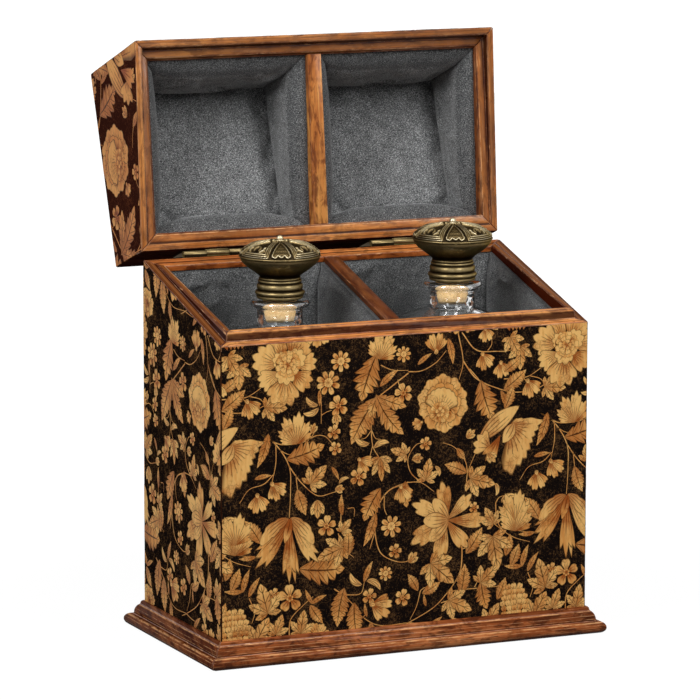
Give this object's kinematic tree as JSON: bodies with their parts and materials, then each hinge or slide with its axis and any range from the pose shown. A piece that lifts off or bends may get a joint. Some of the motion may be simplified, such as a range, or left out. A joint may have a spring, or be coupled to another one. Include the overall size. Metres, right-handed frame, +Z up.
{
  "type": "decanter case",
  "caption": "Floral marquetry box with a slanted mouth and a hinged padded lid, its felt-lined compartments each holding a square glass decanter with a cork under an ornate brass cap.",
  "frame": {"origin": "centre of the case's underside, on the surface it stands on", "axes": "+X to the right of someone facing the front, +Y to the hinges at the back, +Z up"},
  "size_m": [0.3038, 0.2564, 0.4182],
  "materials": {
    "marquetry": "polished floral inlay, gold-tan on black-brown",
    "red_brown_wood": "polished",
    "dark_veneer": "satin",
    "felt": "matte wool felt",
    "antique_brass": "aged satin",
    "clear_glass": "clear",
    "cork": "matte cork"
  },
  "bodies": {
    "case": {"base_board": "dark_veneer", "case_front_panel": "marquetry", "case_back_panel": "dark_veneer", "case_left_panel": "marquetry", "case_right_panel": "marquetry", "plinth_front": "red_brown_wood", "plinth_back": "red_brown_wood", "plinth_left": "red_brown_wood", "plinth_right": "red_brown_wood", "case_rim_front": "red_brown_wood", "case_rim_back": "red_brown_wood", "case_rim_left": "red_brown_wood", "case_rim_right": "red_brown_wood", "case_divider": "red_brown_wood", "case_divider_cap": "red_brown_wood", "case_pad_front_left": "felt", "case_pad_back_left": "felt", "case_pad_left_left": "felt", "case_pad_right_left": "felt", "case_pad_floor_left": "felt", "case_pad_front_right": "felt", "case_pad_back_right": "felt", "case_pad_left_right": "felt", "case_pad_right_right": "felt", "case_pad_floor_right": "felt", "hinge_case_leaf_left": "antique_brass", "hinge_case_leaf_right": "antique_brass", "hinge_pin_left": "antique_brass", "hinge_pin_right": "antique_brass"},
    "lid": {"lid_front_panel": "marquetry", "lid_back_panel": "dark_veneer", "lid_left_panel": "marquetry", "lid_right_panel": "marquetry", "lid_top_panel": "marquetry", "lid_rim_front": "red_brown_wood", "lid_rim_back": "red_brown_wood", "lid_rim_left": "red_brown_wood", "lid_rim_right": "red_brown_wood", "lid_divider": "red_brown_wood", "lid_divider_cap": "red_brown_wood", "lid_pad_front_left": "felt", "lid_pad_back_left": "felt", "lid_pad_left_left": "felt", "lid_pad_right_left": "felt", "lid_pad_top_left": "felt", "lid_pad_front_right": "felt", "lid_pad_back_right": "felt", "lid_pad_left_right": "felt", "lid_pad_right_right": "felt", "lid_pad_top_right": "felt", "hinge_lid_leaf_left": "antique_brass", "hinge_lid_leaf_right": "antique_brass"},
    "decanter_left": {"decanter_left": "clear_glass"},
    "stopper_left": {"stopper_cap_left": "antique_brass", "cork_left": "cork"},
    "decanter_right": {"decanter_right": "clear_glass"},
    "stopper_right": {"stopper_cap_right": "antique_brass", "cork_right": "cork"}
  },
  "joints": [
    {"name": "lid_hinge", "type": "hinge", "parent": "case", "child": "lid", "pos_m": [0, 0.075, 0.2659], "axis": [-1, 0, 0], "range_deg": [-109.7, 0]},
    {"name": "decanter_left_lift", "type": "slide", "parent": "case", "child": "decanter_left", "axis": [0, 0, 1], "range_m": [0, 0.26]},
    {"name": "decanter_right_lift", "type": "slide", "parent": "case", "child": "decanter_right", "axis": [0, 0, 1], "range_m": [0, 0.26]},
    {"name": "stopper_left_lift", "type": "slide", "parent": "decanter_left", "child": "stopper_left", "axis": [0, 0, 1], "range_m": [0, 0.045]},
    {"name": "stopper_right_lift", "type": "slide", "parent": "decanter_right", "child": "stopper_right", "axis": [0, 0, 1], "range_m": [0, 0.045]}
  ]
}
